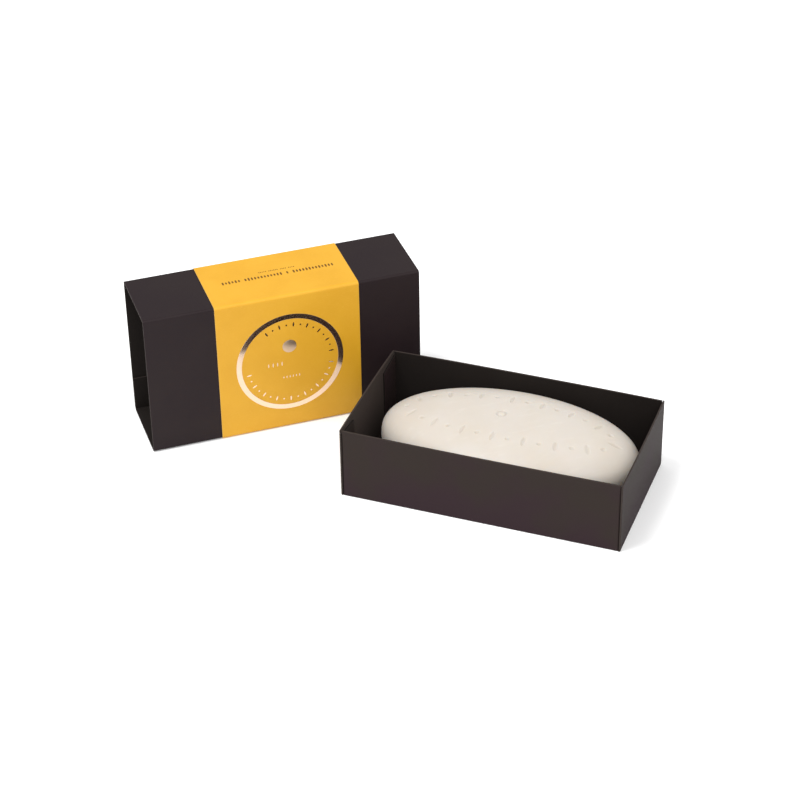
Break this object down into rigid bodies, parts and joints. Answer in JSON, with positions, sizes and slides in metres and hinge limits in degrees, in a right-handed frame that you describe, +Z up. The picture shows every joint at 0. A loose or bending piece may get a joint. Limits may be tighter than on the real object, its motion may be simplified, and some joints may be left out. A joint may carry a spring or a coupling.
{
  "type": "boxed shaving soap bar",
  "caption": "Oval shaving soap bar in an open folded-board tray; its slide-off sleeve stands beside it, wrapped in a paper band with a stamped foil ring.",
  "frame": {"origin": "centre of the tray's underside, on the surface that the object stands on", "axes": "+Z up; +X along the long side of the standing sleeve, towards its right-hand end seen from the front; +Y from the tray towards the sleeve. The tray's long side is turned 38.4 degrees clockwise from +X, seen from above"},
  "size_m": [0.1829, 0.1515, 0.0605],
  "materials": {
    "soap_milk": "satin",
    "brown_board": "matte",
    "yellow_paper": "matte",
    "silver_foil": "polished"
  },
  "bodies": {
    "tray": {"tray_floor": "brown_board", "tray_front_wall": "brown_board", "tray_rear_wall": "brown_board", "tray_left_wall": "brown_board", "tray_right_wall": "brown_board", "tray_tab_front_left": "brown_board", "tray_tab_front_right": "brown_board", "tray_tab_rear_left": "brown_board", "tray_tab_rear_right": "brown_board"},
    "soap": {"soap_bar": "soap_milk"},
    "sleeve": {"sleeve_top": "brown_board", "sleeve_bottom": "brown_board", "sleeve_front": "brown_board", "sleeve_rear": "brown_board", "sleeve_glue_flap": "brown_board"},
    "band": {"band_top": "yellow_paper", "band_bottom": "yellow_paper", "band_front": "yellow_paper", "band_rear": "yellow_paper", "band_overlap": "yellow_paper", "foil_ring": "silver_foil", "foil_dot": "silver_foil"}
  },
  "joints": [
    {"name": "soap_lift", "type": "slide", "parent": "tray", "child": "soap", "axis": [0, 0, 1], "range_m": [0, 0.05]},
    {"name": "sleeve_lift", "type": "slide", "parent": "tray", "child": "sleeve", "axis": [0, 0, 1], "range_m": [0, 0.08]},
    {"name": "band_slide", "type": "slide", "parent": "sleeve", "child": "band", "axis": [1, 0, 0], "range_m": [-0.088, 0.085]}
  ]
}
